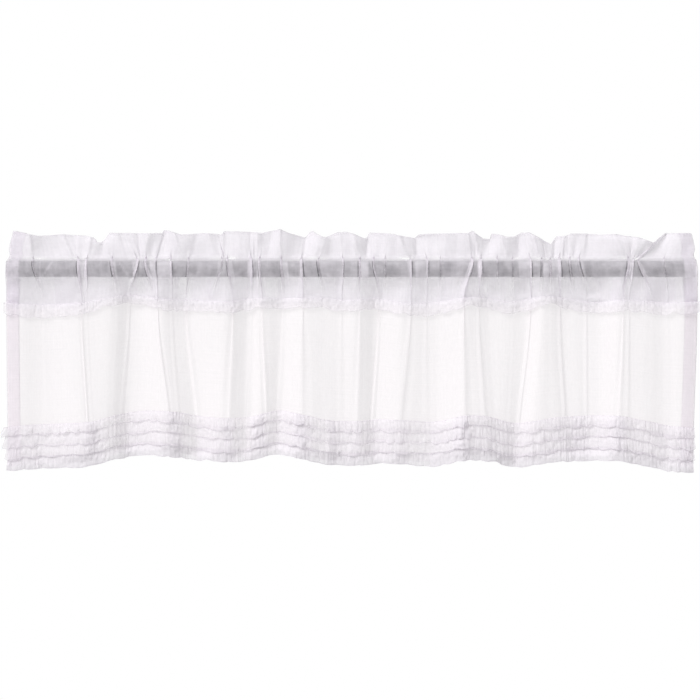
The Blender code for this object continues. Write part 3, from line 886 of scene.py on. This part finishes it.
class ClothFront:
    """How far forward the main cloth's front is, from its foot up to the pocket's seam. What lies
    on it bridges its narrow valleys."""

    STEP = 1.5
    SPAN = 3

    def __init__(self, grid):
        self.x = np.arange(-606, 606 + self.STEP, self.STEP)
        share = np.linspace(0, 1, 5)[:-1]
        self.depth = np.empty((PANEL_ROWS, len(self.x)))
        for number, line in enumerate(grid[:PANEL_ROWS]):
            fine = (line[:-1, None] + (line[1:] - line[:-1])[:, None] * share[None, :, None])
            fine = fine.reshape(-1, 3)
            spot = np.clip(((fine[:, 0] - self.x[0]) / self.STEP).round().astype(int), 0,
                           len(self.x) - 1)
            depth = np.full(len(self.x), np.inf)
            np.minimum.at(depth, spot, fine[:, 1])
            known = np.isfinite(depth)
            depth = np.interp(self.x, self.x[known], depth[known])
            padded = np.pad(depth, self.SPAN, mode="edge")
            self.depth[number] = np.min([padded[shift:shift + len(depth)]
                                         for shift in range(2 * self.SPAN + 1)], axis=0)
        self.depth = blurred(self.depth, self.SPAN + 1, 1)

    def at(self, x, z):
        foot, seam = np.interp(x, *FOOT_LINE), np.interp(x, *SEAM_LINE)
        row = np.clip((z - foot) / (seam - foot), 0, 1) * (PANEL_ROWS - 1.001)
        return looked_up(self.depth, row, (x - self.x[0]) / self.STEP)


def over_rod(level):
    """From 0 to 1, whether the cloth lies on the rod at heights."""
    return eased((SEWN - level) / 4) * eased((level + ROD_RADIUS + 5) / 4)


def thinness(grid, cut, hem):
    """How thin the cloth lies at each point: less over the strips, the dense bands and the side
    hems' layers, more in the tucks over the rod. It also carries painted light and shade: painted
    shadow lines beside the tucks' edges over the rod, a painted highlight along the header's foot
    and the pocket's bands, denser as painted shade and thinner as painted light."""
    x, level = grid[..., 0], grid[..., 2]
    columns = grid.shape[1]
    below_rod = eased((-ROD_RADIUS - level) / 3)
    in_front = (np.arange(len(grid)) < PANEL_ROWS + POCKET_ROWS)[:, None]
    reach = np.maximum(4 + 4 * wavy(110, 51)(np.linspace(0, 1, columns)), 1)
    loose = 0.25 + 0.6 * np.exp(-((level - SEWN + 6) / reach) ** 2) \
        + 0.6 * np.exp(-((level + ROD_RADIUS - 2) / 6) ** 2)
    strips = double(x, level)
    laps, shadow_slits = np.pad(cut.thin, ((0, 0), (len(HEM_TURNS),) * 2))
    thin = (shadow_slits + laps - THICK * np.minimum(loose, 1) - strips) * over_rod(level) * in_front \
        + hem * np.interp(level, (-25, -17, ROD_RADIUS, SEWN + 4), HEM_THIN)
    thin = thin + (LAP_BELOW * laps - STRIP_BELOW * strips) * in_front \
        * below_rod * eased((level + 45) / 25)
    # a painted highlight along the header's foot: the cloth is thinned there so the white behind
    # shows through
    rim_highlight = np.clip(0.55 + 0.65 * crumpled(1, columns, 61, 0, 4), 0, 1.5)
    rim_at = SEWN + RIM_HEIGHT + RIM_UNEVEN * crumpled(1, columns, 62, 0, 7)
    thin = thin + RIM_HIGHLIGHT * rim_highlight * np.exp(-((level - rim_at) / RIM_WIDTH) ** 2)
    seam = np.interp(x, *SEAM_LINE)
    # the pocket's bands below the rod: denser as painted shade, thinner as painted light
    return thin - banded(POCKET_SHADE_BANDS, x) * in_front * below_rod * eased((level - seam + 2) / 4)


def main_cloth():
    """The main cloth as one sheet; gives its grid of points."""
    cut = Gathered()
    front = np.array(panel_rows(cut) + pocket_rows(cut) + header_rows(cut))
    grid = np.concatenate((front, np.array(back_rows(cut, front))))
    spread_ends(grid)
    grid = turned_hems(grid)

    level = grid[..., 2]
    seam = np.interp(grid[..., 0], *SEAM_LINE)
    hem = np.pad(np.zeros(len(cut.share)), len(HEM_TURNS), constant_values=1)
    drawn = 0.6 * np.exp(-np.abs(level - SEWN) / 3) + 0.7 * np.exp(-np.abs(level - seam) / 7) \
        + 0.5 * np.exp(-np.abs(level - level[:1] - FIRST_ROW_UP) / 9)
    crushed = mix(mix(CRUSHED_PANEL, CRUSHED_POCKET, eased((level - seam) / 8 + 1)),
                  CRUSHED_HEADER, eased((level - SEWN) / 6))
    crushed = np.maximum(mix(crushed, CRUSHED_ROD, over_rod(level)), CRUSHED_HEM * hem)
    cloth = add_sheet("valance_voile", grid, voile("voile", 0.50), np.minimum(drawn, 1),
                      thinness(grid, cut, hem), crushed)
    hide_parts("valance_cloth")
    return grid


# ------------------ ruffles

# One row for each ruffle, in millimetres. bulge and gather are the mean widths of its wide
# rounded bulges and of the fine gathers at its stitches, swing is how far the bulges stand out at
# the free edge, flare how far the whole edge does, scallop how far the edge rises between two
# bulges, uneven how far it wanders and head how far its stitched edge stands off the cloth. crush
# is how crushed the strip is, cover the share of it that threads cover and white how much lighter
# than the hem's rows it is painted: the ruffles' cotton is painted darker as shade, and white sets
# that painted shade row by row.
Frill = namedtuple("Frill", "name node bulge gather swing flare scallop uneven head crush seed "
                            "cover white")
FRILLS = [Frill(*row) for row in (
    ("pocket_frill", "pocket_ruffle", 30, 9.0, 1.9, 3.0, 3.4, 2.7, 0.9, 0.35, 21, 0.495, 1.05),
    ("hem_frill_1", "hem_ruffle_1", 28, 6.4, 2.1, 4.4, 4.0, 2.9, 1.1, 0.45, 31, 0.61, 1),
    ("hem_frill_2", "hem_ruffle_2", 30, 6.6, 2.1, 4.0, 4.0, 2.9, 0.6, 0.45, 32, 0.61, 1),
    ("hem_frill_3", "hem_ruffle_3", 27, 6.4, 2.1, 4.0, 3.8, 2.7, 0.6, 0.45, 33, 0.61, 1),
    ("hem_frill_4", "hem_ruffle_4", 29, 6.6, 1.1, 3.2, 2.0, 1.3, 0.6, 0.45, 34, 0.90, 0.95),
)]
FRILL_STEP = 1.05           # millimetres between two columns of a ruffle
FRILL_ROWS = 11
ROLLED = 0.9                # the free edge is turned up behind by this much
TURNED_IN = 1.6             # and the stitched edge down behind by this much
PINCH_REACH = 8             # a frill is crushed this far to both sides of the cloth's main folds
SPREAD_REACH = 50           # a frill's ends splay sideways over this much of its length
EDGE_THIN = 0.7             # how thin the turned free edge looks where it looks thinnest
FIRST_LOW = 4.0             # the hem's first row is sewn on this far below its solid's upper edge
FIRST_DENSE = 0.5           # and its stitches show this much
LOOSE = 1.3                 # the stitched edge lies this far in front of the cloth
MOST_PINCHED = 0.6          # how crushed the rows are in the densest band
BAND_LIFT = 6.0             # how far forward the rows stand at the left edge of the densest band
BAND_REACH = 40.0           # and how far to the left of it that begins

# Places where a ruffle's free edge curls up and forward
Curl = namedtuple("Curl", "frill place reach lift")
CURLS = [Curl(*row) for row in (
    ("pocket_frill", 560, 17, 5.0), ("pocket_frill", 348, 18, 4.0), ("pocket_frill", 208, 14, 4.0),
    ("pocket_frill", -430, 13, 3.0), ("pocket_frill", -160, 12, 3.0), ("pocket_frill", 90, 15, 3.5),
    ("hem_frill_1", -492, 22, 5.0), ("hem_frill_1", 508, 20, 5.0), ("hem_frill_1", -80, 15, 3.0),
    ("hem_frill_2", -338, 16, 3.5), ("hem_frill_2", 130, 18, 3.5), ("hem_frill_2", 330, 14, 3.0),
    ("hem_frill_3", -40, 20, 4.0), ("hem_frill_3", -420, 17, 3.5), ("hem_frill_3", 420, 17, 3.5),
    ("hem_frill_4", 250, 15, 3.0), ("hem_frill_4", -250, 14, 2.5),
)]


def uneven_run(length, mean, chance, spread=0.6):
    """Starts and widths of a run of uneven spans that fill a length."""
    widths = []
    while sum(widths) < length:
        widths.append(mean * chance.uniform(1 - spread, 1 + spread))
    widths = np.array(widths) * length / sum(widths)
    return np.concatenate(([0], np.cumsum(widths[:-1]))), widths


def in_run(starts, widths, place):
    """(number, share) of the span of a run that each place is in."""
    number = np.clip(np.searchsorted(starts, place, side="right") - 1, 0, len(starts) - 1)
    return number, np.clip((place - starts[number]) / widths[number], 0, 1)


def lifted(x):
    """How far forward, from 0 to 1, the hem's rows stand at places x before a fold turns back."""
    found = np.zeros_like(x)
    for band in HEM_SHADE_BANDS:
        left, right = along_rod(band.left), along_rod(band.right)
        forward = np.minimum((x - left) / BAND_REACH + 1, (right - x) / (right - left))
        found = np.maximum(found, band.dense * np.clip(forward, 0, 1))
    return blurred(found, 3, 0)


def squeezed(row, held):
    """What the cloth's folds do to a ruffle at places along it: (how much denser they make it,
    partly as painted shade and light, how far forward they put it, how much they pinch it)."""
    if row.name == "pocket_frill":
        pinched = sum(np.exp(-((held - along_rod(gather.seam)) / PINCH_REACH) ** 2)
                      * gather.lap_panel / 6 for gather in GATHERS)
        bands = lift = np.zeros_like(held)
    else:
        bands, lift = banded(HEM_SHADE_BANDS, held), BAND_LIFT * lifted(held)
        pinched = MOST_PINCHED * bands
    return bands, lift, np.clip(pinched, 0, 1)


def frill(row, cloth):
    """A gathered strip: fine gathers at the stitches, and rounded bulges with scallops below."""
    (top, top_left, top_right), (low, low_left, low_right) = edge_lines(row.node)
    first = row.name == "hem_frill_1"
    if first:
        top[:, 2] -= FIRST_LOW
    if row.name == "pocket_frill":
        top[:, 2] = np.interp(top[:, 0], *SEAM_LINE) + 1
    length = top_right - top_left
    along = np.arange(0, length + FRILL_STEP / 2, FRILL_STEP)
    along *= length / along[-1]
    share = along / length
    held = mix(top_left, top_right, share)

    # the runs of bulges and gathers, drawn in this order
    chance = random.Random(row.seed)
    bulges = uneven_run(length, row.bulge, chance)
    bulge, bulge_share = in_run(*bulges, along)
    stout = np.array([chance.uniform(0.35, 1.2) for _ in bulges[0]])[bulge]
    leaning = np.array([chance.uniform(-1, 1) for _ in bulges[0]])[bulge]
    tucks = uneven_run(length, row.gather, chance)
    tuck, tuck_share = in_run(*tucks, along)
    strong = np.array([chance.uniform(0.3, 1.2) for _ in tucks[0]])[tuck]
    skewed = bulge_share ** np.exp(0.45 * leaning)
    round_out = np.sin(math.pi * skewed) ** 0.75 * stout
    fine = np.cos(2 * math.pi * tuck_share) * strong
    edge = wavy(int(length / 24), row.seed + 100)(share)
    tall = wavy(int(length / 70), row.seed + 200)(share)
    creased = np.clip(crumpled(FRILL_ROWS, len(along), row.seed + 300, 1, 2), -2, 2)
    broken = np.clip(0.5 + 0.5 * crumpled(1, len(along), row.seed + 400, 0, 7), 0, 1)
    bands, lift, pinched = squeezed(row, held)
    splay = (low_left - top_left) * np.clip(1 - along / SPREAD_REACH, 0, 1) ** 2 \
        + (low_right - top_right) * np.clip(1 - (length - along) / SPREAD_REACH, 0, 1) ** 2
    curls = [curl for curl in CURLS if curl.frill == row.name]

    def at_step(step, out=0.0, up=0.0):
        """The points that share of the way down the strip, moved back by out and up by up."""
        place = held + splay * step
        height = mix(np.interp(place, top[:, 0], top[:, 2]),
                     np.interp(place, low[:, 0], low[:, 2]), step)
        depth = cloth.at(place, height) - LOOSE - lift * mix(0.85, 1, step)
        depth = depth - row.flare * math.sin(math.pi / 2 * min(step * 1.3, 1)) ** 0.8
        depth = depth - row.swing * step ** 0.8 * (round_out - 0.4)
        depth = depth - fine * (0.55 + row.crush) * (1 + 0.3 * pinched) * mix(0.37, 0.22, step)
        depth = depth - row.head * (1 - step) ** 12
        crushed = creased[round(step * (FRILL_ROWS - 1))] * math.sin(math.pi * step) ** 0.5
        depth = depth - (row.crush + 0.3 * pinched) * crushed
        height = height + step * (row.scallop * (0.6 - round_out) + row.uneven * (edge + tall))
        place = place + step * leaning * 1.2 * np.sin(2 * math.pi * skewed)
        place = place + 0.5 * np.sin(2 * math.pi * tuck_share)
        for curl in curls:
            near = np.cos(np.clip((place - curl.place) / curl.reach, -1, 1) * math.pi / 2) ** 2
            height = height + curl.lift * near * step ** 2
            depth = depth - 0.7 * curl.lift * near * step ** 1.5
        return np.stack((place, depth + out, height + up), -1)

    down = np.sort(np.append(np.linspace(0, 1, FRILL_ROWS), (0.05, 0.975)))
    grid = np.array([at_step(0.0, 0.8, -TURNED_IN), at_step(0.0, 0.7, -0.4)]
                    + [at_step(step) for step in down]
                    + [at_step(1.0, 0.5, 0.1), at_step(1.0, 0.7, ROLLED)])
    steps = np.concatenate(((0, 0), down, (1, 1)))[:, None]
    # the ruffles' cotton, painted darker as shade and scaled by white row by row
    look = voile(row.name, row.cover, tuple(row.white * part for part in SHADED_FRILL_COTTON), 0.55,
                 (0.0040, 0.007), (0.0026, 0.012))
    # the hem's bands paint shade where denser and light where thinner into the rows' cover
    thin = EDGE_THIN * broken * (steps > 0.96) * (row.cover < 0.8) - bands \
        - FIRST_DENSE * first * (steps < 0.04)
    strip = add_sheet(row.name, grid, look, 0.7 - 0.5 * steps + 0.2 * pinched, thin,
                      row.crush + 0.3 * pinched)
    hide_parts(row.node)


# ------------------ stage

CAMERA_DISTANCE = 6.0
SENSOR = 36.0
FLOOR_REACH = 2.5
FLOOR_LEVEL = -1.5

# A row for each lamp: where it shines from, in degrees to the right and up, its strength and how
# many degrees wide it looks
LAMPS = (("key", -44, 38, 3.3, 30), ("fill", 10, 25, 0.5, 60))


def white_room():
    """A sky that is plain white to the camera and dimmer where it lights the cloth."""
    world = bpy.data.worlds.new("white_room")
    sky = Shading(world)
    seen = sky.add("Background", {"Color": (1, 1, 1, 1), "Strength": 1.0})
    lit = sky.add("Background", {"Color": (0.985, 0.985, 1.0, 1), "Strength": 0.42})
    looking = sky.add("LightPath", {}, "Is Camera Ray")
    sky.show(sky.add("MixShader", {0: looking, 1: lit, 2: seen}), "OutputWorld")
    bpy.context.scene.world = world


def soft_suns():
    """A broad key light from the left and a weak fill."""
    for name, azimuth, elevation, power, softness in LAMPS:
        lamp = bpy.data.lights.new(name, "SUN")
        lamp.energy = power
        lamp.angle = math.radians(softness)
        level, rise = math.radians(azimuth), math.radians(elevation)
        aim = Vector((-math.sin(level) * math.cos(rise), math.cos(level) * math.cos(rise),
                      -math.sin(rise)))
        thing = placed(name, lamp)
        thing.location = -2 * aim
        thing.rotation_euler = aim.to_track_quat("-Z", "Y").to_euler()


def pale_floor():
    """A pale floor well below the cloth."""
    mesh = bpy.data.meshes.new("floor")
    mesh.from_pydata([(x * FLOOR_REACH, y * FLOOR_REACH, FLOOR_LEVEL)
                      for x, y in ((-1, -1), (1, -1), (1, 1), (-1, 1))], [], [(0, 1, 2, 3)])
    pale = bpy.data.materials.new("pale_floor")
    look = Shading(pale)
    look.show(look.add("BsdfPrincipled", {"Base Color": (0.9, 0.9, 0.9, 1), "Roughness": 0.9}))
    mesh.materials.append(pale)
    floor = placed("floor", mesh)


def camera():
    """The camera straight in front, as far away as makes the photo's frame that wide."""
    lens = bpy.data.cameras.new("camera")
    lens.sensor_width = SENSOR
    lens.lens = SENSOR * CAMERA_DISTANCE / (FRAME_WIDTH * MM)
    eye = placed("camera", lens)
    eye.location = (MIDDLE[0] * MM, -CAMERA_DISTANCE, MIDDLE[1] * MM)
    eye.rotation_euler = (math.pi / 2, 0, 0)
    scene = bpy.context.scene
    scene.camera = eye
    scene.view_settings.view_transform = "Standard"
    scene.cycles.transparent_max_bounces = 64


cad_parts["rod"].material_slots[0].material = rod_metal()
cloth_front = ClothFront(main_cloth())
for row in FRILLS:
    frill(row, cloth_front)
white_room()
soft_suns()
pale_floor()
camera()
